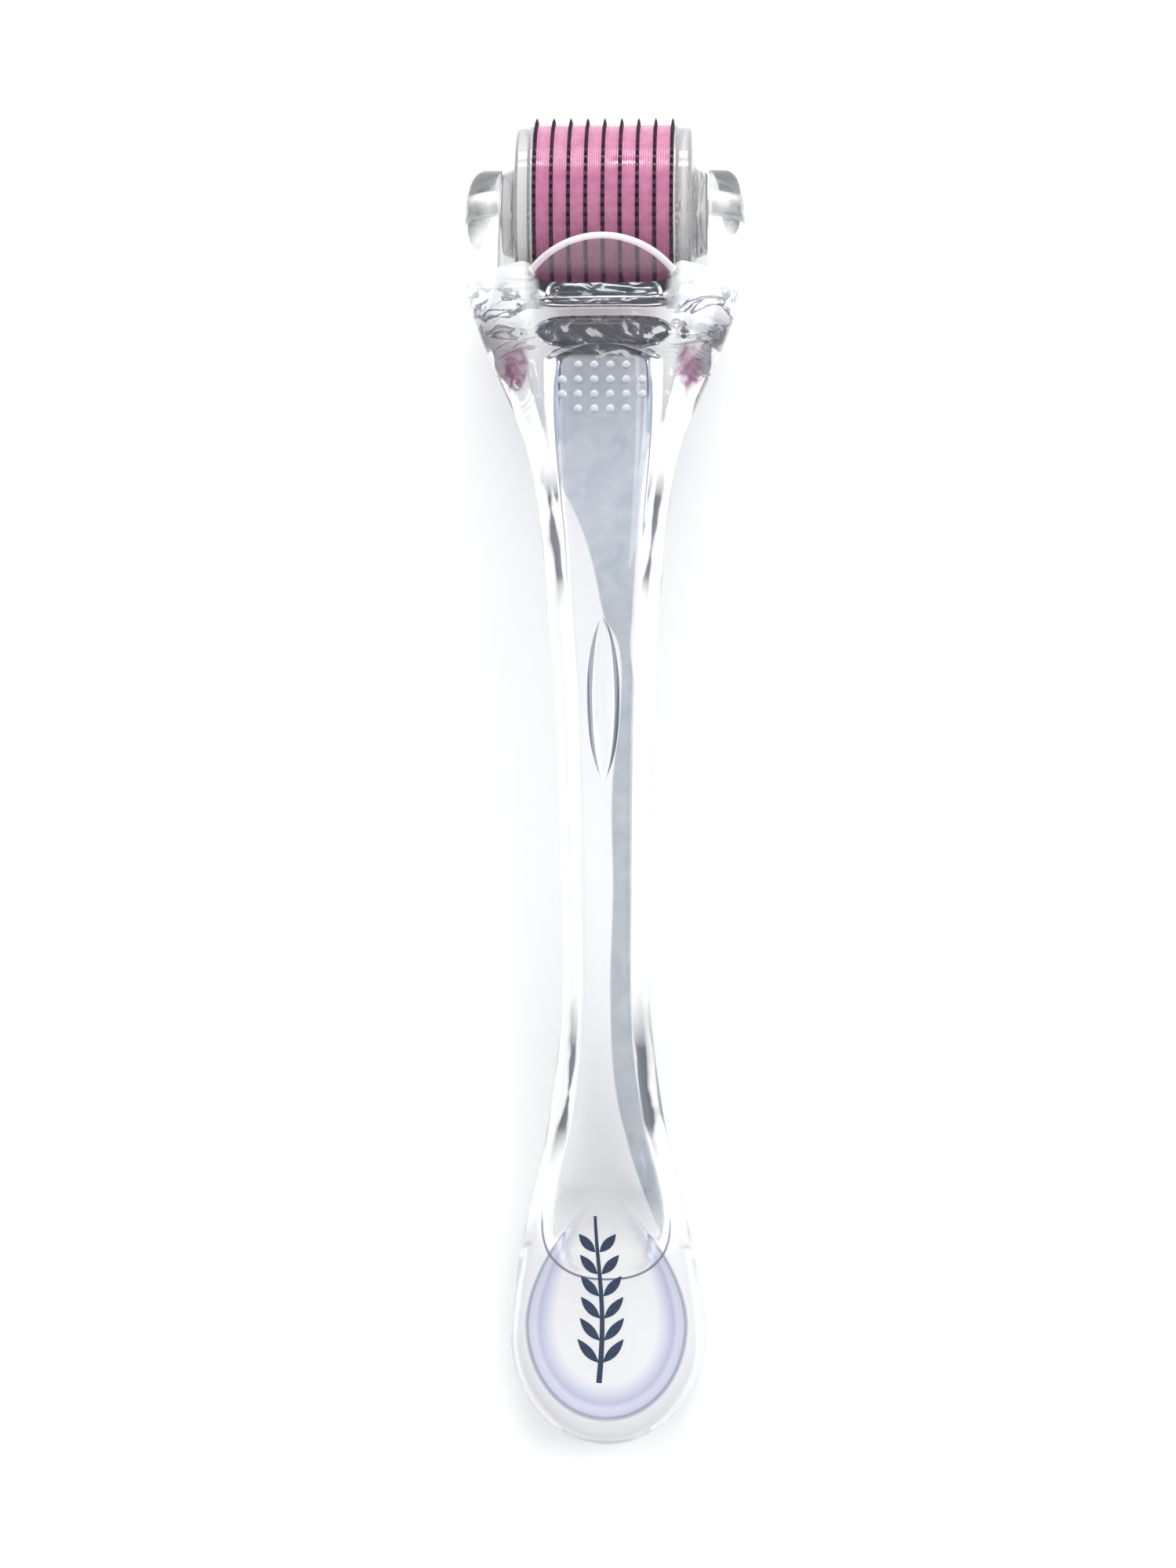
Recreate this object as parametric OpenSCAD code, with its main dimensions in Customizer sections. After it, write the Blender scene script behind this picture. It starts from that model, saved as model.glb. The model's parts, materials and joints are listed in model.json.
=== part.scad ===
// Hand-held derma roller: a clear moulded handle whose yoke carries a free-spinning
// stack of needle discs and spacer rings.
// Frame: X along the roller's axis, +Y towards the head, +Z up, away from the surface it lies on.
// The origin is under the middle of the roller's whole length, on that surface. Millimetres.

/* [Roller] */
// Radius at the needle tips
tip_r = 10; // [9.5:0.1:10.2]
// How far a needle stands out of the spacers
needle_h = 0.75; // [0.25:0.05:1]
// Needle discs in the stack
discs = 9; // [5:1:9]
// Needles round one disc
needles = 60; // [24:6:72]
// Thickness of one needle disc
disc_t = 0.3; // [0.2:0.05:0.4]
// Thickness of one spacer ring
spacer_t = 1.48; // [1:0.02:1.5]
// Radius of the core tube that the stack slides onto
core_r = 4; // [3.5:0.1:5]

/* [Yoke] */
// Distance from one lug's inner face to the other's
yoke_gap = 21.8; // [21.6:0.1:22.2]
// Radius of the chamber that the roller turns in
chamber_r = 10.7; // [10.5:0.1:11]
// Thickness of the hood plate behind the roller
hood_t = 1.2; // [1:0.1:1.5]
// Radius of the rounded rim along the hood's edge
rim_r = 0.56; // [0.5:0.02:0.7]
// Radius of the trunnion on each end cap
trunnion_r = 1.5; // [1.2:0.1:1.8]
// Radial running clearance of a trunnion in its socket
running = 0.05; // [0.03:0.01:0.08]

/* [Handle] */
// Half the length of the whole tool
half_length = 70; // [70:1:70]
// Half the width of the rounded tail
tail_w = 10.4; // [9.5:0.1:11]
// Length of the elliptical end of the tail
tail_l = 12; // [11:0.5:13]
// Thickness of the web between the top trough and the channel underneath
web_t = 1.8; // [1.5:0.1:2.2]
// Depth of the lens-shaped groove in the grip
groove_d = 0.7; // [0.4:0.1:1]
// Depth of the teardrop dish on the tail
dish_d = 1.4; // [0.8:0.1:1.6]

/* [Hidden] */

// The roller's axis
axle_y = half_length - tip_r;
axle_z = tip_r;
drum_r = tip_r - needle_h;
pitch = disc_t + spacer_t;
stack_l = discs * disc_t + (discs - 1) * spacer_t;
key_w = 1.4;
key_h = 0.8;
key_count = 3;
fit = 0.02;

// Handle stations: [y, half width, top, underside, section exponent,
//                   trough half width, trough depth, hollow under the yoke]
stations = [
    [-58,  tail_w, 8.0, -0.6, 2.5, 3.0, 0, 0],
    [-50,  9.4,    8.5, -0.3, 2.4, 3.0, 0, 0],
    [-44,  8.0,    9.0,  0.7, 2.3, 3.0, 0, 0],
    [-37,  6.4,    9.8,  2.0, 2.3, 3.0, 0, 0],
    [-29,  5.2,   10.7,  3.4, 2.3, 3.0, 0, 0],
    [-22,  4.6,   11.6,  4.5, 2.3, 3.0, 0, 0],
    [-10,  4.65,  13.5,  6.3, 2.3, 3.0, 0, 0],
    [0,    4.85,  15.2,  7.8, 2.3, 3.0, 0, 0],
    [10,   5.25,  16.8,  9.2, 2.3, 3.0, 0, 0],
    [20,   5.95,  18.4, 10.3, 2.4, 3.6, 0, 0],
    [28,   6.7,   19.6, 11.0, 2.5, 4.6, 0.5, 0],
    [36,   8.3,   20.4, 10.8, 2.6, 6.0, 1.0, 0],
    [41,   10.4,  20.8, 10.0, 2.8, 7.2, 1.3, 0.5],
    [45,   12.2,  20.9,  8.8, 3.0, 7.8, 1.3, 1.5],
    [48,   13.4,  20.7,  7.6, 3.0, 8.1, 1.3, 2.6],
    [51,   14.3,  20.3,  6.6, 3.0, 8.2, 1.3, 3.4],
    [55,   14.8,  19.3,  5.8, 3.0, 8.2, 1.3, 4.2],
    [57.5, 14.8,  17.5,  5.5, 3.0, 8.2, 1.3, 4.5],
    [60,   14.6,  15.0,  5.4, 3.0, 8.2, 1.3, 4.6]
];
lug_r = 4.6;        // how far the lugs reach past the axle
lug_nose_w = 12.2;  // half width at the very front of the lugs
tail_mid = 3.6;     // height that the tail's end closes to
hollow_w = 9.5;     // half width of the hollow under the yoke
belly_y = stations[0][0];

// Teardrop dish on top of the tail, widest at dish_y, with its point towards the head
dish_y = -57;
dish_w = 8.6;
dish_tail = 10.2;
dish_point = 15;

// Channel stations: [y, half width, how square its roof is]
channel = [
    [-46, 6.9, 0.55], [-42, 6.4, 0.55], [-37, 5.15, 0.6], [-29, 3.95, 0.6], [-22, 3.45, 0.6],
    [-10, 3.5, 0.6], [0, 3.65, 0.6], [10, 3.95, 0.6], [20, 4.6, 0.55], [28, 5.5, 0.5],
    [36, 6.5, 0.5], [41, 6.9, 0.5], [44, 6.9, 0.5]
];
channel_tail = 6.3; // length of the channel's rounded tail end
channel_nose = 1.8; // and of its blunter end at the yoke

// Groove across the underside of the bridge, between the channel and the chamber
pocket_y = 47.1;
pocket_z = 11.8;
pocket_r = 1.6;
pocket_rise = 0.96;
pocket_half = 8;

// Hood edge: an arc in plan, whose crown is this far behind the axle
crown_back = 3.55;
hood_arc_r = 9.4;
hood_half = 7.05;

// Straight run of the curve through a table's column at row i, in units per mm
function slope(t, i, c) =
    let (a = max(i - 1, 0), b = min(i + 1, len(t) - 1))
    (t[b][c] - t[a][c]) / (t[b][0] - t[a][0]);
function row_at(t, y, i = 0) = (i >= len(t) - 2 || y < t[i + 1][0]) ? i : row_at(t, y, i + 1);
// Smooth curve through a table's column
function curve(t, y, c) =
    let (i = row_at(t, y), h = t[i + 1][0] - t[i][0], u = min(max((y - t[i][0]) / h, 0), 1))
    t[i][c] * (1 + 2 * u) * pow(1 - u, 2) + slope(t, i, c) * h * u * pow(1 - u, 2)
    + t[i + 1][c] * u * u * (3 - 2 * u) + slope(t, i + 1, c) * h * u * u * (u - 1);

function signed_pow(v, p) = sign(v) * pow(abs(v), p);

// How far along its elliptical end the tail is at y: 1 at the belly, 0 at the very end
function tail_e(y) = y >= belly_y ? 1 : sqrt(max(1 - pow((belly_y - y) / tail_l, 2), 0));
// The same for the round nose of the lugs
function nose_e(y) = y <= axle_y ? 1 : sqrt(max(1 - pow((y - axle_y) / lug_r, 2), 0));

function half_width(y) =
    y > axle_y ? lug_nose_w + (stations[len(stations) - 1][1] - lug_nose_w) * pow(nose_e(y), 0.8)
               : curve(stations, y, 1) * tail_e(y);
function top_z(y) =
    y > axle_y ? axle_z + (stations[len(stations) - 1][2] - axle_z) * nose_e(y)
               : tail_mid + (curve(stations, y, 2) - tail_mid) * pow(tail_e(y), 0.7);
function under_z(y) =
    y > axle_y ? axle_z + (stations[len(stations) - 1][3] - axle_z) * nose_e(y)
               : tail_mid + (curve(stations, y, 3) - tail_mid) * pow(tail_e(y), 0.7);

// How deep the neck's trough and the tail's dish are at a point of the top
function trough(x, y) =
    let (rho = abs(x) / curve(stations, y, 5))
    rho < 1 ? curve(stations, y, 6) * (1 - pow(rho, 4)) : 0;
function dish(x, y) =
    let (
        behind = max(dish_y - y, 0) / dish_tail,
        ahead = max(y - dish_y, 0) / dish_point,
        w = dish_w * (1 - pow(min(ahead, 0.999), 1.8)),
        rho = sqrt(pow(x / w, 2) + behind * behind)
    )
    ahead < 1 && rho < 1 ? dish_d * (1 - pow(rho, 4)) * (1 - pow(ahead, 3)) : 0;
function dip(x, y) = trough(x, y) + dish(x, y);
function hollow(x, y) =
    abs(x) < hollow_w ? curve(stations, y, 7) * nose_e(y) * (1 - pow(x / hollow_w, 2)) : 0;

// One point of the handle's outside, at angle a round the section at y
function skin(y, a) =
    let (
        w = half_width(y), t = top_z(y), b = under_z(y), p = 2 / curve(stations, y, 4),
        x = w * signed_pow(cos(a), p),
        z = (t + b) / 2 + (t - b) / 2 * signed_pow(sin(a), p)
    )
    [x, y, max(sin(a) > 0 ? z - dip(x, y) : z + hollow(x, y), 0)];

// Closed tube through rings of as many points each, every ring running clockwise as seen from ahead
module loft(rings) {
    n = len(rings[0]);
    last = len(rings) - 1;
    polyhedron(
        points = [for (r = rings) each r],
        faces = concat(
            [[for (j = [n - 1 : -1 : 0]) j]],
            [for (i = [0 : last - 1], j = [0 : n - 1])
                each [[i * n + j, (i + 1) * n + (j + 1) % n, (i + 1) * n + j],
                      [i * n + j, i * n + (j + 1) % n, (i + 1) * n + (j + 1) % n]]],
            [[for (j = [0 : n - 1]) last * n + j]]
        )
    );
}

// Where the rings lie: close together at the two rounded ends
skin_ys = concat(
    [belly_y - tail_l],
    [for (a = [80 : -10 : 10]) belly_y - tail_l * sin(a)],
    [for (y = [belly_y : 3 : 35]) y],
    [for (y = [37 : 1.8 : 59.5]) y],
    [for (a = [0 : 14 : 84]) axle_y + lug_r * sin(a)]
);
skin_steps = 48;

module skin_solid() {
    loft([for (y = skin_ys) [for (k = [0 : skin_steps - 1]) skin(y, 360 * (k + 0.5) / skin_steps)]]);
}

// The channel underneath, as the solid that it takes away
function channel_w(y) =
    let (
        tail = channel[0][0], nose = channel[len(channel) - 1][0],
        u = y < tail ? (tail - y) / channel_tail : y > nose ? (y - nose) / channel_nose : 0
    )
    curve(channel, min(max(y, tail), nose), 1) * pow(max(1 - pow(u, 2.4), 0), 1 / 2.4);
function roof_z(y) = top_z(y) - dip(0, y) - web_t;
channel_ys = concat(
    [for (u = [0.99, 0.93, 0.8, 0.6, 0.35]) channel[0][0] - channel_tail * u],
    [for (y = [channel[0][0] : 4 : 43]) y],
    [for (u = [0.3, 0.7, 0.9, 0.99]) channel[len(channel) - 1][0] + channel_nose * u]
);
module channel_solid() {
    loft([for (y = channel_ys)
        let (
            w = channel_w(y), deep = roof_z(y) - under_z(y) + 2,
            p = curve(channel, min(max(y, channel[0][0]), channel[len(channel) - 1][0]), 2)
        )
        concat(
            [[w, y, under_z(y) - 2]],
            [for (a = [6 : 12 : 174])
                [w * signed_pow(cos(a), p), y, roof_z(y) - deep * (1 - pow(sin(a), p))]],
            [[-w, y, under_z(y) - 2]]
        )]);
}

// The pocket, narrower and lower towards its two ends
module bridge_pocket() {
    loft([for (u = [-1, -0.97, -0.85, -0.6, -0.3, 0.3, 0.6, 0.85, 0.97, 1])
        let (share = sqrt(max(1 - pow(u, 4), 0.02)), x = u * pocket_half)
        concat(
            [[x, pocket_y - pocket_r * share, 0]],
            [for (a = [180 : -15 : 0])
                [x, pocket_y + pocket_r * share * cos(a), pocket_z + pocket_rise * share * sin(a)]],
            [[x, pocket_y + pocket_r * share, 0]]
        )]);
}

// A point of the hood's edge, on a cylinder of radius r about the axle
function hood_edge(x, r) =
    let (back = crown_back + hood_arc_r - sqrt(pow(hood_arc_r, 2) - x * x))
    [x, axle_y - back, axle_z + sqrt(r * r - back * back)];

module about_axle(r, length, sides = 96) {
    translate([0, axle_y, axle_z]) rotate([0, 90, 0]) cylinder(h = length, r = r, center = true, $fn = sides);
}

// The hood: a shell about the axle, cut to an arch in plan
module hood_plate() {
    root_y = axle_y - 9;
    xs = [for (x = [-1 : 0.1 : 1]) x * hood_half];
    intersection() {
        difference() {
            about_axle(chamber_r + hood_t, 2 * hood_half);
            about_axle(chamber_r, 4 * hood_half);
        }
        translate([0, 0, axle_z]) linear_extrude(2 * tip_r) polygon(concat(
            [for (x = xs) let (p = hood_edge(x, chamber_r + hood_t / 2)) [p[0], p[1]]],
            [[hood_half, root_y], [-hood_half, root_y]]
        ));
    }
}

// The rounded rim along the hood's edge
module hood_rim() {
    r = chamber_r + hood_t / 2;
    path = [for (x = [-1 : 0.1 : 1]) hood_edge(x * hood_half, r)];
    loft([for (i = [0 : len(path) - 1])
        let (
            a = path[max(i - 1, 0)], b = path[min(i + 1, len(path) - 1)],
            along = (b - a) / norm(b - a),
            out = [0, path[i][1] - axle_y, path[i][2] - axle_z] / r,
            side = cross(along, out) / norm(cross(along, out))
        )
        [for (k = [0 : 9]) path[i] + rim_r * (cos(36 * k) * side + sin(36 * k) * cross(side, along))]]);
}

// Finger grip: rows of small domes on the trough's floor
dome_rows = [[43.4, 4], [41.9, 6], [40.4, 6], [38.9, 4]];
dome_pitch = 1.66;
dome_r = 0.5;
dome_h = 0.35;
module grip_domes() {
    for (row = dome_rows, k = [0 : row[1] - 1]) {
        x = (k - (row[1] - 1) / 2) * dome_pitch;
        translate([x, row[0], top_z(row[0]) - dip(x, row[0]) - 0.4])
            cylinder(h = 0.4 + dome_h, r1 = dome_r, r2 = dome_r / 2, $fn = 8);
    }
}

// Lens-shaped groove with a V floor
groove_y = [0.5, 17.5];
groove_w = 1.55;
module grip_groove() {
    mid = (groove_y[0] + groove_y[1]) / 2;
    half = (groove_y[1] - groove_y[0]) / 2;
    loft([for (u = [-0.995, -0.9, -0.7, -0.4, 0, 0.4, 0.7, 0.9, 0.995])
        let (
            y = mid + half * u, share = pow(1 - u * u, 0.6),
            w = groove_w * share, z = top_z(y) - dip(0, y)
        )
        [[-w * 1.6, y, z + 0.42], [0, y, z - groove_d * share], [w * 1.6, y, z + 0.42], [0, y, z + 2]]]);
}

// The socket that one trunnion turns in: blind, open towards the roller
socket_l = 2.8;
module socket() {
    translate([yoke_gap / 2 - 0.5, axle_y, axle_z]) rotate([0, 90, 0])
        cylinder(h = socket_l + 0.5, r = trunnion_r + running, $fn = 64);
}

module handle() {
    color([0.86, 0.9, 0.94, 0.4])
    difference() {
        // A resize that changes nothing keeps the lofted shapes together as one mesh
        resize([0, 0, 0]) difference() {
            union() {
                difference() {
                    skin_solid();
                    channel_solid();
                    grip_groove();
                    bridge_pocket();
                }
                hood_plate();
                hood_rim();
                grip_domes();
            }
            about_axle(chamber_r, yoke_gap);
        }
        for (side = [0, 1])
            mirror([side, 0, 0]) socket();
    }
}

// Outline of a keyed bore or tube, with its keys grown by extra
module keyed(r, extra) {
    circle(r = r + extra, $fn = 96);
    for (k = [0 : key_count - 1])
        rotate(360 / key_count * k)
            translate([r - 0.5, -key_w / 2 - extra])
                square([key_h + 0.5 + extra, key_w + 2 * extra]);
}

// Stands what is drawn along +Z up to run along +X, starting at x
module along_axle(x) {
    translate([x, axle_y, axle_z]) rotate([90, 0, 90]) children();
}

function disc_x(i) = -stack_l / 2 + (i - 1) * pitch;

module core_tube() {
    color([0.93, 0.93, 0.92])
    along_axle(-stack_l / 2) linear_extrude(stack_l) difference() {
        keyed(core_r, 0);
        circle(r = core_r - 1.2, $fn = 96);
    }
}

// Thin steel ring with pointed needles all round, its body just proud of the spacers
root_r = drum_r + 0.1;
needle_w = 0.5;
module needle_disc(i) {
    color([0.5, 0.52, 0.55])
    along_axle(disc_x(i)) linear_extrude(disc_t) difference() {
        polygon([for (k = [0 : needles - 1], p = [[-1, root_r], [0, tip_r], [1, root_r]])
            let (a = 360 * k / needles + p[0] * asin(needle_w / 2 / root_r))
            [p[1] * cos(a), p[1] * sin(a)]]);
        keyed(core_r, fit);
    }
}

spacer_edge = 0.08;
module spacer_ring(i) {
    color([0.84, 0.45, 0.65])
    along_axle(disc_x(i) + disc_t) difference() {
        rotate_extrude($fn = 120) polygon([
            [0, 0], [drum_r - spacer_edge, 0], [drum_r, spacer_edge],
            [drum_r, spacer_t - spacer_edge], [drum_r - spacer_edge, spacer_t], [0, spacer_t]
        ]);
        translate([0, 0, -1]) linear_extrude(spacer_t + 2) keyed(core_r, fit);
    }
}

// Clear end cap: a spigot into the core tube, a lipped flange, a cone and the trunnion
lip_l = 0.38;
flange_r = 9;
flange_l = 1.65;
hub_r = 4.6;
cone_r = 4.2;
cap_l = yoke_gap / 2 - stack_l / 2 - 0.15;
trunnion_l = 2.5;
spigot_r = core_r - 1.2 - fit;
spigot_l = 3;
module end_cap() {
    color([0.88, 0.9, 0.9, 0.5])
    along_axle(stack_l / 2) rotate_extrude($fn = 120) polygon([
        [0, -spigot_l], [spigot_r - 0.3, -spigot_l], [spigot_r, 0.3 - spigot_l], [spigot_r, 0],
        [drum_r - 0.1, 0], [drum_r, 0.1], [drum_r, lip_l], [flange_r, lip_l + 0.12],
        [flange_r, flange_l], [flange_r - 0.5, flange_l + 0.3], [hub_r + 0.4, 2.15], [hub_r, 2.5],
        [cone_r, cap_l],
        [trunnion_r, cap_l], [trunnion_r, cap_l + trunnion_l - 0.3],
        [trunnion_r - 0.3, cap_l + trunnion_l], [0, cap_l + trunnion_l]
    ]);
}

handle();
core_tube();
mirror([1, 0, 0]) end_cap();  // end_cap_left
end_cap();  // end_cap_right
for (i = [1 : discs])
    needle_disc(i);
for (i = [1 : discs - 1])
    spacer_ring(i);
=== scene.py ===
"""Derma roller lying on a white surface, seen from above. Metres, the CAD's frame."""

import json
import math

import bmesh
import bpy
import numpy as np
from mathutils import Matrix, Vector

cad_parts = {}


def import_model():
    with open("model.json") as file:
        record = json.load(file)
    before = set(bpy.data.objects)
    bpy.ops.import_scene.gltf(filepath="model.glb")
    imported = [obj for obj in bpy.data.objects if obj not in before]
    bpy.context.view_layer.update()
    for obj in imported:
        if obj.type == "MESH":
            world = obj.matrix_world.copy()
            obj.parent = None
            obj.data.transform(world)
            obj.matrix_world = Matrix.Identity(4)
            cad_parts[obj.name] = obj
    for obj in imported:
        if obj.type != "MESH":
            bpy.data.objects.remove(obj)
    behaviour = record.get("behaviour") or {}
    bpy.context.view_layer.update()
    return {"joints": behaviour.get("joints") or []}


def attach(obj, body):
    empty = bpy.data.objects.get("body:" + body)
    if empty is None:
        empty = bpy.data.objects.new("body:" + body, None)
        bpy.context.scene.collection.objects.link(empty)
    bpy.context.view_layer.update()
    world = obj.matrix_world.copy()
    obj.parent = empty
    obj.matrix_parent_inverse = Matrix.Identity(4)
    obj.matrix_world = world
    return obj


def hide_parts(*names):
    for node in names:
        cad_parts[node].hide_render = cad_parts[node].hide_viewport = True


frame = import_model()
MM = 0.001

# ---------------------------------------------------------------- sizes, in mm
# a name that ends in _W is a half width, from the middle
_, AXLE_Y, AXLE_Z = (round(v / MM, 3) for v in frame["joints"][0]["pos_m"])

# the roller
TIP_R, DRUM_R, NEEDLE_ROOT_R, BORE_R = 10.0, 9.25, 9.35, 4.02
DISCS, NEEDLES, SPACER_LINES = 9, 60, 5
DISC_T, SPACER_T = 0.3, 1.48
PITCH = DISC_T + SPACER_T
STACK = DISCS * DISC_T + (DISCS - 1) * SPACER_T
CORE_R, CORE_BORE_R, CORE_CHAMFER = 4.0, 2.8, 0.1

# the yoke
GAP, CHAMBER_R = 21.8, 10.7
SOCKET_R, SOCKET_L, CUT_OVERLAP = 1.55, 2.8, 0.5
HOOD_T, HOOD_OVERLAP, HOOD_END_DEG = 1.2, 0.3, 56
CROWN_BACK, HOOD_ARC_R, HOOD_HALF = 3.55, 9.4, 7.05
RIM_R, RIM_END = 0.56, 1.15
POCKET_Y, POCKET_Z, POCKET_R, POCKET_TALL, POCKET_HALF = 47.1, 11.8, 1.6, 0.6, 8.0
LUG_R, LUG_NOSE_W = 4.6, 12.2

# the grip and the tail
WEB_T, HOLLOW_W = 1.8, 9.5
TAIL_L, TAIL_MID = 12.0, 3.6
DISH_Y, DISH_W, DISH_TAIL, DISH_POINT, DISH_POINT_POWER, DISH_D = -57.0, 8.6, 10.2, 15.0, 1.8, 1.4
DOME_R, DOME_H, DOME_PITCH, DOME_ROOT = 0.46, 0.36, 1.66, 0.4
DOME_ROWS = ((43.4, 4), (41.9, 6), (40.4, 6), (38.9, 4))
GROOVE_Y, GROOVE_HALF_L, GROOVE_W, GROOVE_D = 9.0, 8.5, 1.55, 0.95
GROOVE_FLARE, GROOVE_LIP, GROOVE_POWER = 1.5, 0.5, 0.6
PRINT_X, PRINT_LOW, PRINT_HIGH, PRINT_T = -0.8, -63.2, -45.4, 0.03
STEM_SWAY, STEM_RATE, STEM_W, STEM_TAPER = 0.35, 0.25, 0.16, 0.14
LEAF_PAIRS, LEAF_START, LEAF_GAP, LEAF_L, LEAF_SHORTER, LEAF_W = 6, 2.2, 2.35, 2.7, 0.12, 0.5

# y, half width, top, underside, section exponent, trough half width, trough depth, hollow
STATIONS = [
    [-58, 10.4, 8.0, -0.6, 2.5, 3.0, 0, 0],
    [-50, 9.4, 8.5, -0.3, 2.4, 3.0, 0, 0],
    [-44, 8.0, 9.0, 0.7, 2.3, 3.0, 0, 0],
    [-37, 6.4, 9.8, 2.0, 2.3, 3.0, 0, 0],
    [-29, 5.2, 10.7, 3.4, 2.3, 3.0, 0, 0],
    [-22, 4.6, 11.6, 4.5, 2.3, 3.0, 0, 0],
    [-10, 4.65, 13.5, 6.3, 2.3, 3.0, 0, 0],
    [0, 4.85, 15.2, 7.8, 2.3, 3.0, 0, 0],
    [10, 5.25, 16.8, 9.2, 2.3, 3.0, 0, 0],
    [20, 5.95, 18.4, 10.3, 2.4, 3.6, 0, 0],
    [28, 6.7, 19.6, 11.0, 2.5, 4.6, 0.5, 0],
    [36, 8.3, 20.4, 10.8, 2.6, 6.0, 1.0, 0],
    [41, 10.4, 20.8, 10.0, 2.8, 7.2, 1.3, 0.5],
    [45, 12.2, 20.9, 8.8, 3.0, 7.8, 1.3, 1.5],
    [48, 13.4, 20.7, 7.6, 3.0, 8.1, 1.3, 2.6],
    [51, 14.3, 20.3, 6.6, 3.0, 8.2, 1.3, 3.4],
    [55, 14.8, 19.3, 5.8, 3.0, 8.2, 1.3, 4.2],
    [57.5, 14.8, 17.5, 5.5, 3.0, 8.2, 1.3, 4.5],
    [60, 14.6, 15.0, 5.4, 3.0, 8.2, 1.3, 4.6],
]
BELLY_Y = STATIONS[0][0]

# y, half width of the channel underneath, how square its roof is
CHANNEL = [
    [-46, 6.9, 0.55], [-42, 6.4, 0.55], [-37, 5.15, 0.6], [-29, 3.95, 0.6], [-22, 3.45, 0.6],
    [-10, 3.5, 0.6], [0, 3.65, 0.6], [10, 3.95, 0.6], [20, 4.6, 0.55], [28, 5.5, 0.5],
    [36, 6.5, 0.5], [41, 6.9, 0.5], [44, 6.9, 0.5],
]
CHANNEL_TAIL, CHANNEL_NOSE, CHANNEL_END_POWER = 6.3, 1.8, 2.4

# y, left and right edge of the blue-grey painted shade on the channel's roof
SHADE_EDGES = [
    [-48, 5.5, 6.3], [-42, 3.5, 5.3], [-38, 2.3, 4.3], [-31, 0.9, 3.0], [-22, 0.5, 2.4],
    [-11, 0.8, 2.9], [0, 0.8, 3.4], [8, 1.6, 3.3], [14, 1.6, 2.6], [18, 0, 2.8], [22, -0.8, 3.1],
    [26, -1.9, 3.5], [32, -4.7, 4.2], [35, -5.9, 4.8], [38, -7.5, 7.5], [46, -9, 9],
]


# ---------------------------------------------------------------- curves and profiles
def smooth_column(table, col, sigma=1.6, step=0.1):
    """A column as a function of y: the CAD's curve with its joins softened."""
    t = np.asarray(table, float)
    y, v = t[:, 0], t[:, col]
    last = len(y) - 1
    lo = np.maximum(np.arange(last + 1) - 1, 0)
    hi = np.minimum(np.arange(last + 1) + 1, last)
    m = (v[hi] - v[lo]) / (y[hi] - y[lo])
    margin = 8
    grid = np.arange(y[0] - margin, y[-1] + margin + step, step)
    i = np.clip(np.searchsorted(y, grid, side="right") - 1, 0, last - 1)
    h = y[i + 1] - y[i]
    u = np.clip((grid - y[i]) / h, 0, 1)
    fine = (
        v[i] * (1 + 2 * u) * (1 - u) ** 2 + m[i] * h * u * (1 - u) ** 2
        + v[i + 1] * u * u * (3 - 2 * u) + m[i + 1] * h * u * u * (u - 1)
    )
    k = np.arange(-int(4 * sigma / step), int(4 * sigma / step) + 1) * step
    w = np.exp(-0.5 * (k / sigma) ** 2)
    soft = np.convolve(np.pad(fine, len(k) // 2, mode="edge"), w / w.sum(), mode="valid")
    return lambda q: np.interp(q, grid, soft)


WIDTH, TOP, UNDER, POWER, TROUGH_W, TROUGH_D, HOLLOW = (
    smooth_column(STATIONS, c) for c in range(1, 8)
)
CHANNEL_W, CHANNEL_P = smooth_column(CHANNEL, 1), smooth_column(CHANNEL, 2)


def signed_pow(v, p):
    return np.sign(v) * np.abs(v) ** p


def tail_e(y):
    """1 along the grip, falling to 0 at the tail's end as a quarter ellipse."""
    return np.where(y >= BELLY_Y, 1.0, np.sqrt(np.clip(1 - ((BELLY_Y - y) / TAIL_L) ** 2, 0, 1)))


def nose_e(y):
    """1 up to the axle, falling to 0 at the lugs' noses."""
    return np.where(y <= AXLE_Y, 1.0, np.sqrt(np.clip(1 - ((y - AXLE_Y) / LUG_R) ** 2, 0, 1)))


def half_width(y):
    nose = LUG_NOSE_W + (WIDTH(AXLE_Y) - LUG_NOSE_W) * nose_e(y) ** 0.8
    return np.where(y > AXLE_Y, nose, WIDTH(y) * tail_e(y))


def closing(y, column):
    """A height that closes to the tail's end and to the nose of the lugs."""
    nose = AXLE_Z + (column(AXLE_Y) - AXLE_Z) * nose_e(y)
    return np.where(y > AXLE_Y, nose, TAIL_MID + (column(y) - TAIL_MID) * tail_e(y) ** 0.7)


def top_z(y):
    return closing(y, TOP)


def under_z(y):
    return closing(y, UNDER)


def dip(x, y):
    """How deep the neck's trough and the tail's dish are."""
    rho = np.abs(x) / TROUGH_W(y)
    trough = np.where(rho < 1, TROUGH_D(y) * (1 - np.minimum(rho, 1) ** 4), 0)
    behind = np.maximum(DISH_Y - y, 0) / DISH_TAIL
    ahead = np.clip((y - DISH_Y) / DISH_POINT, 0, 0.999)
    w = DISH_W * (1 - ahead**DISH_POINT_POWER)
    rho = np.minimum(np.sqrt((x / w) ** 2 + behind**2), 1)
    return trough + DISH_D * (1 - rho**5) * (1 - ahead**3)


def surface_z(x, y):
    """Height of the handle's top at a point."""
    w, t, b, n = half_width(y), top_z(y), under_z(y), POWER(y)
    rise = np.clip(1 - np.abs(x / w) ** n, 0, 1) ** (1 / n)
    return (t + b) / 2 + (t - b) / 2 * rise - dip(x, y)


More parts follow.
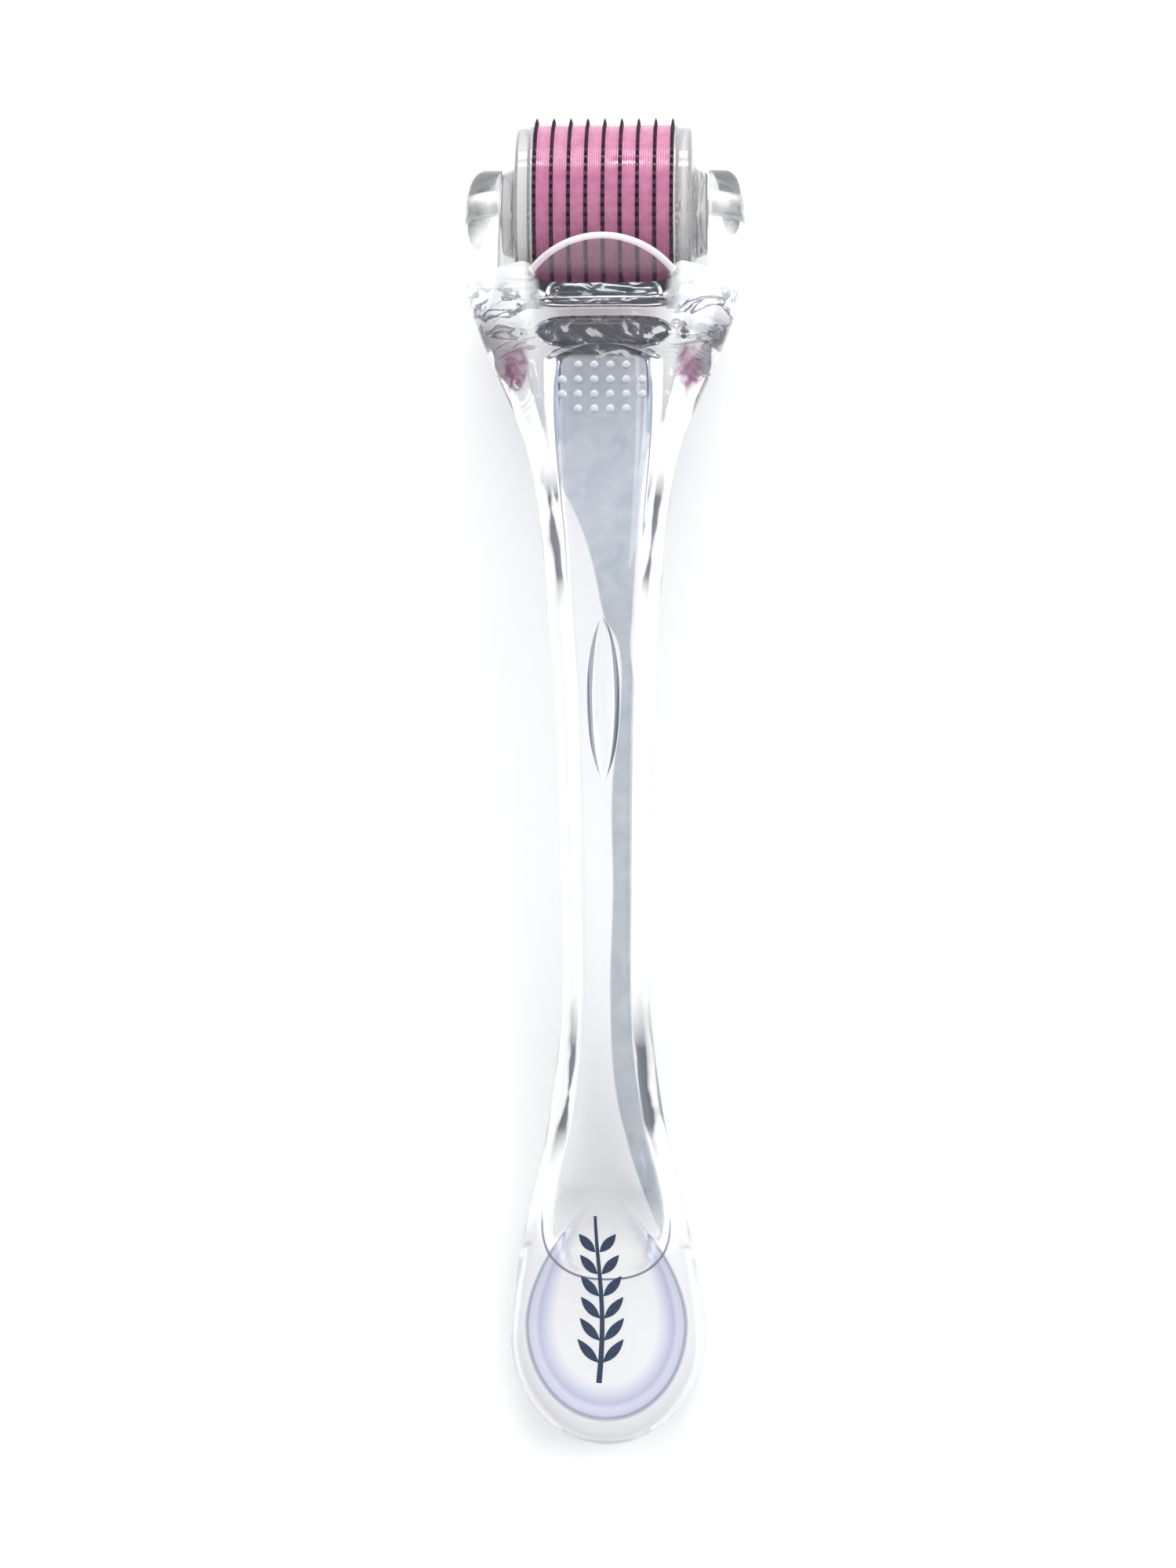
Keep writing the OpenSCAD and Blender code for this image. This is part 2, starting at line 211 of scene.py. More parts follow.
# ---------------------------------------------------------------- mesh building
def new_object(name, verts, faces):
    mesh = bpy.data.meshes.new(name)
    mesh.from_pydata([tuple(v) for v in np.asarray(verts, float) * MM], [], faces)
    mesh.update()
    obj = bpy.data.objects.new(name, mesh)
    bpy.context.scene.collection.objects.link(obj)
    return obj


def loft(name, rings):
    """Closed tube through rings, each (n, 3), its ends closed by a fan of triangles."""
    rings = np.asarray(rings, float)
    m, n = rings.shape[:2]
    verts = np.concatenate([rings.reshape(-1, 3), rings[[0, -1]].mean(axis=1)])
    faces = []
    for i in range(m - 1):
        for j in range(n):
            k = (j + 1) % n
            faces.append((i * n + j, i * n + k, (i + 1) * n + k, (i + 1) * n + j))
    for j in range(n):
        k = (j + 1) % n
        faces.append((m * n, k, j))
        faces.append((m * n + 1, (m - 1) * n + j, (m - 1) * n + k))
    return tidy_mesh(new_object(name, verts, faces))


def tidy_mesh(obj, merge=1e-6):
    """Merges doubled points, drops slivers and turns the faces outwards."""
    bm = bmesh.new()
    bm.from_mesh(obj.data)
    bmesh.ops.remove_doubles(bm, verts=bm.verts, dist=merge)
    bmesh.ops.dissolve_degenerate(bm, edges=bm.edges, dist=merge)
    bmesh.ops.recalc_face_normals(bm, faces=bm.faces)
    bm.to_mesh(obj.data)
    bm.free()
    return obj


def shade(obj, angle=32):
    """Smooth shading, with edges over the angle kept sharp."""
    bm = bmesh.new()
    bm.from_mesh(obj.data)
    limit = math.radians(angle)
    for f in bm.faces:
        f.smooth = True
    for e in bm.edges:
        e.smooth = e.calc_face_angle(math.pi) < limit
    bm.to_mesh(obj.data)
    bm.free()
    return obj


def lathe(name, profile, steps=144):
    """Turns (x, r) points about the roller's axis. The profile starts and ends on the axis or is a loop."""
    p = np.asarray(profile, float)
    loop = p[0, 1] > 1e-6
    a = np.arange(steps) * 2 * math.pi / steps
    rings = np.stack([
        np.repeat(p[:, None, 0], steps, 1),
        p[:, None, 1] * np.cos(a)[None],
        p[:, None, 1] * np.sin(a)[None],
    ], axis=2) + np.array([0, AXLE_Y, AXLE_Z])
    m = len(p)
    faces = []
    for i in range(m if loop else m - 1):
        for j in range(steps):
            k, i2 = (j + 1) % steps, (i + 1) % m
            faces.append((i * steps + j, i * steps + k, i2 * steps + k, i2 * steps + j))
    return tidy_mesh(new_object(name, rings.reshape(-1, 3), faces))


def cylinder(name, x0, x1, r, steps):
    return lathe(name, [(x0, 0), (x0, r), (x1, r), (x1, 0)], steps)


def with_material(obj, mat):
    obj.data.materials.append(mat)
    return obj


def boolean(obj, others, operation):
    """Applies booleans with the others, which are then removed. Cut faces take the other's material."""
    for o in others:
        mod = obj.modifiers.new("b", "BOOLEAN")
        mod.operation = operation
        mod.solver = "MANIFOLD"
        mod.material_mode = "TRANSFER"
        mod.object = o
    dg = bpy.context.evaluated_depsgraph_get()
    mesh = bpy.data.meshes.new_from_object(obj.evaluated_get(dg))
    obj.modifiers.clear()
    old = obj.data
    obj.data = mesh
    bpy.data.meshes.remove(old)
    for o in others:
        data = o.data
        bpy.data.objects.remove(o)
        bpy.data.meshes.remove(data)
    return obj


# ---------------------------------------------------------------- the handle
def skin():
    """The handle's outer surface, before anything is cut or added."""
    around = 168
    a = (np.arange(around) + 0.5) * 2 * math.pi / around
    ys = np.concatenate([
        BELLY_Y - TAIL_L * np.sin(np.radians([89.9, 88, 85.5, *range(83, 0, -3)])),
        np.arange(BELLY_Y, AXLE_Y, 0.4),
        AXLE_Y + LUG_R * np.sin(np.radians([*range(0, 86, 5), 87.5, 89.5])),
    ])
    rings = []
    for y in ys:
        w, t, b, p = half_width(y), top_z(y), under_z(y), 2 / POWER(y)
        x = w * signed_pow(np.cos(a), p)
        z = (t + b) / 2 + (t - b) / 2 * signed_pow(np.sin(a), p)
        hollow = HOLLOW(y) * nose_e(y) * np.clip(1 - (x / HOLLOW_W) ** 2, 0, 1)
        z = np.where(np.sin(a) > 0, z - dip(x, y), z + hollow)
        # no lower than the surface that the tool lies on, with a soft bend where it meets it
        z = 0.5 * (z + np.sqrt(z * z + 0.03))
        rings.append(np.stack([x, np.full_like(x, y), z], axis=1))
    return loft("handle_clear", rings)


def channel():
    """What is cut from under the grip."""
    tail, nose = CHANNEL[0][0], CHANNEL[-1][0]
    u = np.sin(np.radians(np.arange(88, 0, -5)))
    ys = np.concatenate([
        tail - CHANNEL_TAIL * u,
        np.arange(tail, nose, 0.5),
        nose + CHANNEL_NOSE * u[::-1],
    ])
    a = np.radians(np.arange(3, 178, 3.0))
    q = CHANNEL_END_POWER
    rings = []
    for y in ys:
        s = (tail - y) / CHANNEL_TAIL if y < tail else max(y - nose, 0) / CHANNEL_NOSE
        w = CHANNEL_W(np.clip(y, tail, nose)) * (1 - s**q) ** (1 / q)
        roof, low = top_z(y) - dip(0.0, y) - WEB_T, under_z(y) - 2
        p = CHANNEL_P(y)
        x = np.concatenate([[w], w * signed_pow(np.cos(a), p), [-w]])
        z = np.concatenate([[low], roof - (roof - low) * (1 - np.sin(a) ** p), [low]])
        rings.append(np.stack([x, np.full_like(x, y), z], axis=1))
    return loft("channel", rings)


def hood_back(x):
    """How far behind the axle the hood's arched edge is."""
    return CROWN_BACK + HOOD_ARC_R - np.sqrt(HOOD_ARC_R**2 - x * x)


def hood_plate():
    """Shell about the axle, from inside the bridge to the arched edge."""
    rings = []
    for x in np.linspace(-HOOD_HALF, HOOD_HALF, 81):
        mid = CHAMBER_R + HOOD_T / 2
        a = np.linspace(math.asin(hood_back(x) / mid), math.radians(HOOD_END_DEG), 24)
        ring = []
        for r, angles in ((CHAMBER_R + HOOD_T, a), (CHAMBER_R - HOOD_OVERLAP, a[::-1])):
            ring += [(x, AXLE_Y - r * math.sin(t), AXLE_Z + r * math.cos(t)) for t in angles]
        rings.append(ring)
    return loft("hood", rings)


def hood_rim():
    """Rounded bead along the hood's edge, with round ends."""
    r = CHAMBER_R + HOOD_T / 2
    x = np.linspace(-HOOD_HALF, HOOD_HALF, 101)
    back = hood_back(x)
    path = np.stack([x, AXLE_Y - back, AXLE_Z + np.sqrt(r * r - back * back)], axis=1)
    along = np.gradient(path, axis=0)
    along /= np.linalg.norm(along, axis=1)[:, None]
    size = np.full(len(path), RIM_R)
    cap = np.sin(np.radians(np.linspace(4, 86, 10)))
    reach = RIM_R * RIM_END * np.sqrt(1 - cap**2)
    grown = RIM_R * RIM_END * cap
    first = path[0] - along[0] * reach[:, None]
    last = path[-1] + along[-1] * reach[:, None]
    path = np.concatenate([first, path, last[::-1]])
    along = np.concatenate([np.repeat(along[[0]], len(cap), 0), along, np.repeat(along[[-1]], len(cap), 0)])
    size = np.concatenate([grown, size, grown[::-1]])
    a = np.arange(28) * 2 * math.pi / 28
    rings = []
    for p, t, s in zip(path, along, size):
        out = np.array([0, p[1] - AXLE_Y, p[2] - AXLE_Z]) / r
        side = np.cross(t, out)
        side /= np.linalg.norm(side)
        up = np.cross(side, t)
        rings.append(p + s * (np.cos(a)[:, None] * side + np.sin(a)[:, None] * up))
    return loft("rim", rings)


def grip_domes():
    """Small domes under the head, in rows."""
    domes = []
    a = np.arange(20) * 2 * math.pi / 20

    def circle(x, y, r, z):
        return np.stack([x + r * np.cos(a), y + r * np.sin(a), np.full_like(a, z)], 1)

    for y, count in DOME_ROWS:
        for k in range(count):
            x = (k - (count - 1) / 2) * DOME_PITCH
            z = float(surface_z(x, y))
            rings = [circle(x, y, DOME_R, z - DOME_ROOT)]
            for e in np.radians(np.arange(0, 86, 12)):
                rings.append(circle(x, y, DOME_R * math.cos(e), z - 0.04 + DOME_H * math.sin(e)))
            domes.append(loft("dome", rings))
    return domes


def groove(plain, edge):
    """Lens-shaped groove with a V floor. Its two edges have a material of their own, a dark tint that is
    painted shade.
    """
    rings = []
    for u in np.sin(np.radians(np.linspace(-88, 88, 61))):
        y, share = GROOVE_Y + GROOVE_HALF_L * u, (1 - u * u) ** GROOVE_POWER
        w, z = GROOVE_W * share * GROOVE_FLARE, float(surface_z(0.0, y))
        s = np.linspace(-1, 1, 17)
        floor = z + GROOVE_LIP - (GROOVE_LIP + GROOVE_D * share) * (1 - np.abs(s) ** 1.8)
        ring = [(w * q, y, f) for q, f in zip(s, floor)]
        ring += [(w, y, z + 2), (-w, y, z + 2)]
        rings.append(ring)
    obj = loft("groove", rings)
    for mat in (plain, edge):
        obj.data.materials.append(mat)
    for f in obj.data.polygons:
        x, y, _ = f.center / MM
        share = max(1 - ((y - GROOVE_Y) / GROOVE_HALF_L) ** 2, 1e-6) ** GROOVE_POWER
        f.material_index = int(abs(x) > 0.5 * GROOVE_W * GROOVE_FLARE * share)
    return obj


def bridge_pocket():
    """Round-roofed groove across the underside of the bridge, shallower towards its ends."""
    rings = []
    for x in np.linspace(-POCKET_HALF, POCKET_HALF, 41):
        share = math.sqrt(max(1 - (x / POCKET_HALF) ** 4, 0.02))
        a = np.linspace(0, math.pi, 33)
        y = POCKET_Y + POCKET_R * share * np.cos(a)
        z = POCKET_Z + POCKET_R * share * np.sin(a) * POCKET_TALL
        y = np.concatenate([[y[0]], y, [y[-1]]])
        z = np.concatenate([[0], z, [0]])
        rings.append(np.stack([np.full_like(y, x), y, z], 1))
    return loft("pocket", rings)


def handle(plain, rim, dots, inner):
    """The handle as one closed mesh, with a material for each kind of face."""
    body = with_material(skin(), plain)
    boolean(body, [
        with_material(channel(), inner["channel"]),
        groove(plain, inner["groove"]),
        with_material(bridge_pocket(), inner["pocket"]),
    ], "DIFFERENCE")
    boolean(body, [
        with_material(hood_plate(), plain),
        with_material(hood_rim(), rim),
        *(with_material(d, dots) for d in grip_domes()),
    ], "UNION")
    wall, end = GAP / 2, GAP / 2 + SOCKET_L
    boolean(body, [with_material(o, inner["wall"]) for o in (
        cylinder("chamber", -wall, wall, CHAMBER_R, 240),
        cylinder("socket_r", wall - CUT_OVERLAP, end, SOCKET_R, 64),
        cylinder("socket_l", -end, -wall + CUT_OVERLAP, SOCKET_R, 64),
    )], "DIFFERENCE")
    return shade(tidy_mesh(body, 2e-6))


def print_sprig():
    """Plain sprig printed in the dish: a stem with pairs of leaves, lying on the surface."""
    verts, faces = [], []

    def stem_x(y):
        return PRINT_X + STEM_SWAY * np.sin((y - PRINT_LOW) * STEM_RATE)

    def patch(spine, widths):
        """Thin closed strip along a spine, its top just over the surface."""
        spine, across = np.asarray(spine, float), np.linspace(-1, 1, 5)
        along = np.gradient(spine, axis=0)
        side = np.stack([-along[:, 1], along[:, 0]], 1) / np.linalg.norm(along, axis=1)[:, None]
        flat = spine[:, None] + side[:, None] * (np.asarray(widths)[:, None] * across)[..., None]
        flat = flat.reshape(-1, 2)
        base, n, m = len(verts), len(spine), len(across)
        top = [surface_z(x, y) + PRINT_T for x, y in flat]
        verts.extend((x, y, float(z)) for (x, y), z in zip(flat, top))
        verts.extend((x, y, float(z) - PRINT_T * 0.8) for (x, y), z in zip(flat, top))
        low = base + n * m
        for i in range(n - 1):
            for j in range(m - 1):
                a, b, c, d = i * m + j, (i + 1) * m + j, (i + 1) * m + j + 1, i * m + j + 1
                faces.append((base + a, base + b, base + c, base + d))
                faces.append((low + d, low + c, low + b, low + a))
        loop = [j for j in range(m)] + [i * m + m - 1 for i in range(1, n)]
        loop += [(n - 1) * m + j for j in range(m - 2, -1, -1)] + [i * m for i in range(n - 2, 0, -1)]
        for p, q in zip(loop, loop[1:] + loop[:1]):
            faces.append((base + p, base + q, low + q, low + p))

    y = PRINT_LOW + (PRINT_HIGH - PRINT_LOW) * np.linspace(0, 1, 41)
    patch(np.stack([stem_x(y), y], 1), STEM_W + STEM_TAPER * np.linspace(1, 0, 41))
    u = np.linspace(0, 1, 15)
    leaf = LEAF_W * np.sin(np.pi * np.clip(u, 0.02, 0.985)) ** 0.8
    for k in range(LEAF_PAIRS):
        root = PRINT_LOW + LEAF_START + LEAF_GAP * k
        reach = LEAF_L - LEAF_SHORTER * k
        for s in (-1, 1):
            x = stem_x(root) + s * (0.25 + reach * 0.8 * u)
            patch(np.stack([x, root + reach * (0.75 * u + 0.15 * u * u)], 1), leaf)
    return shade(tidy_mesh(new_object("print", verts, faces)), 40)


# ---------------------------------------------------------------- the roller
def needle_ring(i):
    """Etched disc: a thin ring with a lancet needle at each step, thinned towards its tip."""
    x = -STACK / 2 + (i - 1) * PITCH + DISC_T / 2
    step = 2 * math.pi / NEEDLES
    # along the rim, height over it, share of the disc's thickness
    outline = [
        (-step * NEEDLE_ROOT_R / 2, 0.0, 1.0), (-0.24, 0.0, 1.0), (-0.16, 0.14, 1.0), (-0.1, 0.36, 0.8),
        (0.0, TIP_R - NEEDLE_ROOT_R, 0.12), (0.1, 0.36, 0.8), (0.16, 0.14, 1.0), (0.24, 0.0, 1.0),
    ]
    outer = [(k * step + s / NEEDLE_ROOT_R, NEEDLE_ROOT_R + h, t)
             for k in range(NEEDLES) for s, h, t in outline]
    n = len(outer)
    verts, faces = [], []
    for side in (-1, 1):
        for a, r, t in outer:
            verts.append((x + side * t * DISC_T / 2, AXLE_Y + r * math.cos(a), AXLE_Z + r * math.sin(a)))
        for a, _, _ in outer:
            y, z = AXLE_Y + BORE_R * math.cos(a), AXLE_Z + BORE_R * math.sin(a)
            verts.append((x + side * DISC_T / 2, y, z))
    for j in range(n):
        k = (j + 1) % n
        faces.append((j, k, n + k, n + j))
        faces.append((2 * n + j, 3 * n + j, 3 * n + k, 2 * n + k))
        faces.append((j, 2 * n + j, 2 * n + k, k))
        faces.append((n + j, n + k, 3 * n + k, 3 * n + j))
    return shade(tidy_mesh(new_object(f"needles_{i}", verts, faces)), 25)


def spacer(i):
    """Pink ring with fine turned lines round it."""
    x0 = -STACK / 2 + i * DISC_T + (i - 1) * SPACER_T
    edge, shoulder = DRUM_R - 0.07, DRUM_R - 0.02
    prof = [(0.0, BORE_R), (0.0, edge), (0.03, shoulder), (0.08, DRUM_R)]
    for k in range(SPACER_LINES):
        c, line = SPACER_T * (k + 1) / (SPACER_LINES + 1), DRUM_R - 0.025
        prof += [(c - 0.05, DRUM_R), (c - 0.02, line), (c + 0.02, line), (c + 0.05, DRUM_R)]
    prof += [(SPACER_T - 0.08, DRUM_R), (SPACER_T - 0.03, shoulder), (SPACER_T, edge), (SPACER_T, BORE_R)]
    return shade(lathe(f"spacer_{i}", [(x0 + x, r) for x, r in prof], 180), 50)


def end_cap(side):
    """Flange with a raised lip, a cone and the trunnion that turns in the lug."""
    s = 1 if side == "right" else -1
    plug = [(-3, 0), (-3, 2.4), (-2.85, 2.7), (-0.02, 2.78), (0, 3.2)]
    lip = [(0, DRUM_R - 0.12), (0.05, DRUM_R - 0.03), (0.14, DRUM_R), (0.3, DRUM_R), (0.38, DRUM_R - 0.05),
           (0.42, 9.1)]
    flange = [(0.5, 9.02), (0.62, 9.0), (1.5, 9.0), (1.66, 8.95), (1.8, 8.82), (1.88, 8.6), (1.95, 7.8),
              (2.0, 6.6), (2.06, 5.4), (2.15, 5.0)]
    cone = [(2.3, 4.75), (2.5, 4.6), (3.3, 4.3), (3.43, 4.2), (3.48, 4.0)]
    trunnion = [(3.48, 1.62), (3.5, 1.52), (3.56, 1.5), (5.7, 1.5), (5.88, 1.42), (5.98, 1.2), (5.98, 0)]
    profile = [(s * (STACK / 2 + x), r) for x, r in plug + lip + flange + cone + trunnion]
    return shade(lathe(f"cap_{side}", profile, 180), 40)


def core():
    x, c = STACK / 2, CORE_CHAMFER
    profile = [(-x, CORE_BORE_R), (-x, CORE_R - c), (-x + c, CORE_R), (x - c, CORE_R), (x, CORE_R - c),
               (x, CORE_BORE_R)]
    return shade(lathe("core", profile, 96))


# ---------------------------------------------------------------- materials
CLEAR = (0.985, 0.99, 0.995)
BLACK, WHITE = (0.0, 0.0, 0.0), (1.0, 1.0, 1.0)
HANDLE_IOR, SOFT_IOR, RIM_IOR = 1.56, 1.45, 1.4

# where the handle's painted shade, painted reflections and painted light fade in, in mm: a pair is (none at,
# full at)
TAIL_FADE, LINE_FADE = (-43, -49), (-44.6, -46.2)
SHOULDER_X, SHOULDER_Y, SHOULDER_Z = (6.8, 8.2), (46.5, 49), (14, 16)
FEATHER_X, FEATHER_Y, FEATHER_END = (7.2, 8.6), (44.4, 45.6), (52.5, 50)
PATCH_X, PATCH_Y, PATCH_W, PATCH_L, PATCH_Z = 9.1, 43.2, 1.4, 2.6, (12, 13)
FLANK_SPAN, FLANK_HIGH, FLANK_POINTS = 58, 24, 30
WALL_SIDE, WALL_FACE, WALL_FRONT = (6.6, 7.6), (10.85, 10.6), (56, 55)
GREY_LIGHTENS, DARK_REFLECTION_FADE, EDGE_SOFT, EDGE_SPAN = (16, 30), (44.1, 44.6), 0.1, 12
# brings distances that go past 1 into a ramp's range
RING_SCALE, LINE_SCALE = 0.8, 0.9


class Paint:
    """Short calls for the nodes of one material, or of the world."""

    def __init__(self, owner):
        owner.use_nodes = True
        self.owner = owner
        self.nodes, self.links = owner.node_tree.nodes, owner.node_tree.links

    def add(self, kind, **inputs):
        """A node with some of its inputs set. An underscore in a name stands for a space."""
        node = self.nodes.new(kind)
        for key, value in inputs.items():
            node.inputs[key.replace("_", " ")].default_value = value
        return node

    def surface(self, **inputs):
        """Sets inputs of the material's shader to a number, or links them to an output."""
        bsdf = self.nodes["Principled BSDF"]
        for key, value in inputs.items():
            socket = bsdf.inputs[key.replace("_", " ")]
            if isinstance(value, bpy.types.NodeSocket):
                self.links.new(value, socket)
            else:
                socket.default_value = value

    def base_colour(self):
        """What the shader's base colour is linked to."""
        return self.nodes["Principled BSDF"].inputs["Base Color"].links[0].from_socket

    def noise(self, scale, detail=3.0, distortion=0.0, stretch=(1, 1, 1)):
        """Noise in object space, 0 to 1."""
        coords = self.add("ShaderNodeTexCoord")
        scaled = self.add("ShaderNodeVectorMath")
        scaled.operation = "MULTIPLY"
        scaled.inputs[1].default_value = stretch
        node = self.add("ShaderNodeTexNoise", Scale=scale, Detail=detail, Distortion=distortion)
        self.links.new(coords.outputs["Object"], scaled.inputs[0])
        self.links.new(scaled.outputs["Vector"], node.inputs["Vector"])
        return node.outputs["Fac"]

    def position(self):
        """Object coordinates in mm."""
        coords = self.add("ShaderNodeTexCoord")
        split = self.add("ShaderNodeSeparateXYZ")
        self.links.new(coords.outputs["Object"], split.inputs["Vector"])
        return [self.calc("DIVIDE", split.outputs[axis], MM) for axis in "XYZ"]

    def calc(self, operation, *values):
        """A Math node on outputs and numbers."""
        node = self.add("ShaderNodeMath")
        node.operation = operation
        for socket, value in zip(node.inputs, values):
            if isinstance(value, (int, float)):
                socket.default_value = value
            else:
                self.links.new(value, socket)
        return node.outputs["Value"]

    def ranged(self, source, low, high, to_low, to_high):
        """The source taken from one range to another, and kept inside it."""
        limits = {"From_Min": low, "From_Max": high, "To_Min": to_low, "To_Max": to_high}
        node = self.add("ShaderNodeMapRange", **limits)
        self.links.new(source, node.inputs["Value"])
        return node.outputs["Result"]

    def fade(self, source, none_at, full_at):
        """0 up to one value of the source and 1 from another, which may be the lower one."""
        return self.ranged(source, none_at, full_at, 0, 1)

    def product(self, first, *others):
        for other in others:
            first = self.calc("MULTIPLY", first, other)
        return first

    def curve(self, source, points, low, high):
        """Smooth curve of the source through (at, value) points, the values between low and high."""
        first, last = points[0][0], points[-1][0]
        spots = [((at - first) / (last - first), (value - low) / (high - low)) for at, value in points]
        node = self.add("ShaderNodeFloatCurve")
        knots = node.mapping.curves[0].points
        knots[0].location, knots[1].location = spots[0], spots[-1]
        for spot in spots[1:-1]:
            knots.new(*spot)
        node.mapping.update()
        self.links.new(self.fade(source, first, last), node.inputs["Value"])
        return self.ranged(node.outputs["Value"], 0, 1, low, high)

    def ramp(self, source, *stops):
        """Colours along the source, as (at, colour)."""
        node = self.add("ShaderNodeValToRGB")
        self.links.new(source, node.inputs["Fac"])
        elements = node.color_ramp.elements
        while len(elements) < len(stops):
            elements.new(0.5)
        for element, (at, colour) in zip(elements, stops):
            element.position = at
            element.color = (*colour, 1)
        return node.outputs["Color"]

    def mixed(self, factor, a, b):
        """Blend of two colours, each an output or three numbers."""
        node = self.add("ShaderNodeMix")
        node.data_type = "RGBA"
        self.links.new(factor, node.inputs["Factor"])
        for key, value in (("A", a), ("B", b)):
            if isinstance(value, tuple):
                node.inputs[key].default_value = (*value, 1)
            else:
                self.links.new(value, node.inputs[key])
        return node.outputs["Result"]

    def bump(self, source, strength, distance):
        node = self.add("ShaderNodeBump", Strength=strength, Distance=distance)
        self.links.new(source, node.inputs["Height"])
        self.surface(Normal=node.outputs["Normal"])


def clear_plastic(name, tint, ior, rough, clarity=1.0):
    """Moulded clear plastic: a faint cloudiness, slow waves, and roughness that varies a little."""
    p = Paint(bpy.data.materials.new(name))
    p.surface(Transmission_Weight=clarity, IOR=ior)
    cloud = p.noise(240.0, 4.0, 0.6)
    lighter = tuple(min(1.0, c * 1.015) for c in tint)
    darker = tuple(c * 0.98 for c in tint)
    p.surface(Base_Color=p.ramp(cloud, (0.35, darker), (0.65, lighter)))
    p.surface(Roughness=p.ranged(cloud, 0.3, 0.7, rough * 0.6, rough * 1.6))
    p.bump(p.noise(160.0, 2.0), 0.05, 0.0006)
    return p


def dish_shade_ring(p, x, y, tail_top):
    """Painted shade: a lilac ring inside the dish's edge, with a dark line in it."""
    behind = p.calc("MAXIMUM", p.calc("DIVIDE", p.calc("SUBTRACT", DISH_Y, y), DISH_TAIL), 0)
    ahead = p.ranged(y, DISH_Y, DISH_Y + DISH_POINT, 0, 0.999)
    narrow = p.calc("SUBTRACT", 1, p.calc("POWER", ahead, DISH_POINT_POWER))
    across = p.calc("DIVIDE", p.calc("DIVIDE", x, DISH_W), narrow)
    rho = p.calc("SQRT", p.calc("ADD", p.calc("POWER", across, 2), p.calc("POWER", behind, 2)))
    # painted shade: lilac bands and one dark line where the dish's rim would look shaded
    ring = p.ramp(
        p.calc("MULTIPLY", rho, RING_SCALE),
        (0.50, CLEAR), (0.61, (0.68, 0.69, 0.86)), (0.66, (0.52, 0.54, 0.74)),
        (0.70, (0.70, 0.71, 0.86)), (0.755, (0.60, 0.62, 0.78)), (0.775, (0.26, 0.27, 0.38)),
        (0.795, (0.5, 0.51, 0.6)), (0.81, CLEAR),
    )
    return tail_top, ring


def channel_end_shade_line(p, y, size, top):
    """Painted shade: a thin dark U-shaped line over the channel's rear end."""
    q = CHANNEL_END_POWER
    end_y, end_w = CHANNEL[0][:2]
    past = p.calc("DIVIDE", p.calc("MAXIMUM", p.calc("SUBTRACT", end_y, y), 0), CHANNEL_TAIL)
    beside = p.calc("DIVIDE", size, end_w)
    total = p.calc("ADD", p.calc("POWER", past, q), p.calc("POWER", beside, q))
    line = p.ramp(
        p.calc("MULTIPLY", p.calc("POWER", total, 1 / q), LINE_SCALE),
        (0.855, BLACK), (0.875, WHITE), (0.892, WHITE), (0.905, BLACK),
    )
    return p.product(line, top, p.fade(y, *LINE_FADE)), (0.16, 0.17, 0.26)


def flank_dark_reflections(p, y, z):
    """Painted dark reflections: dark streaks at mid height, along two parts of the flanks, with wavy edges.
    """
    levels = np.linspace(-FLANK_SPAN, FLANK_SPAN, FLANK_POINTS)
    middle = p.curve(y, list(zip(levels, (top_z(levels) + under_z(levels)) / 2)), 0, FLANK_HIGH)
    off = p.calc("ABSOLUTE", p.calc("SUBTRACT", z, middle))
    reach = p.ranged(p.noise(110.0, 3.0, 0.5), 0.35, 0.65, 0.2, 1.5)
    flank = p.fade(p.calc("SUBTRACT", off, reach), 0.35, -0.35)
    spans = p.ramp(
        p.fade(y, -60, 60),
        (0.16, BLACK), (0.2, WHITE), (0.27, WHITE), (0.34, BLACK),
        (0.65, BLACK), (0.68, WHITE), (0.75, WHITE), (0.79, BLACK),
    )
    return p.product(flank, spans), (0.02, 0.022, 0.03)


def pink_reflection_patch(p, y, z, size):
    """Painted reflection of the pink roller: a ragged pink patch at each side behind the bridge."""
    across = p.calc("DIVIDE", p.calc("SUBTRACT", size, PATCH_X), PATCH_W)
    along = p.calc("DIVIDE", p.calc("SUBTRACT", y, PATCH_Y), PATCH_L)
    patch = p.calc("ADD", p.calc("POWER", across, 2), p.calc("POWER", along, 2))
    ragged = p.noise(600.0, 3.0, 1.2)
    patch = p.calc("ADD", patch, p.ranged(ragged, 0.3, 0.7, -0.45, 0.45))
    reflected_pink = p.ramp(ragged, (0.4, (0.27, 0.06, 0.16)), (0.6, (0.55, 0.26, 0.4)))
    return p.product(p.fade(patch, 1.3, 0.3), p.fade(z, *PATCH_Z)), reflected_pink


def shoulder_dark_reflections(p, y, size):
    """Painted dark reflections: dark feathered streaks on both shoulders."""
    feathers = p.ramp(
        p.noise(300.0, 3.0, 1.8, (0.6, 1.5, 1.0)),
        (0.5, BLACK), (0.54, WHITE), (0.6, (0.7, 0.7, 0.7)), (0.64, BLACK),
    )
    along = p.product(p.fade(y, *FEATHER_Y), p.fade(y, *FEATHER_END))
    return p.product(feathers, p.fade(size, *FEATHER_X), along), (0.07, 0.09, 0.14)


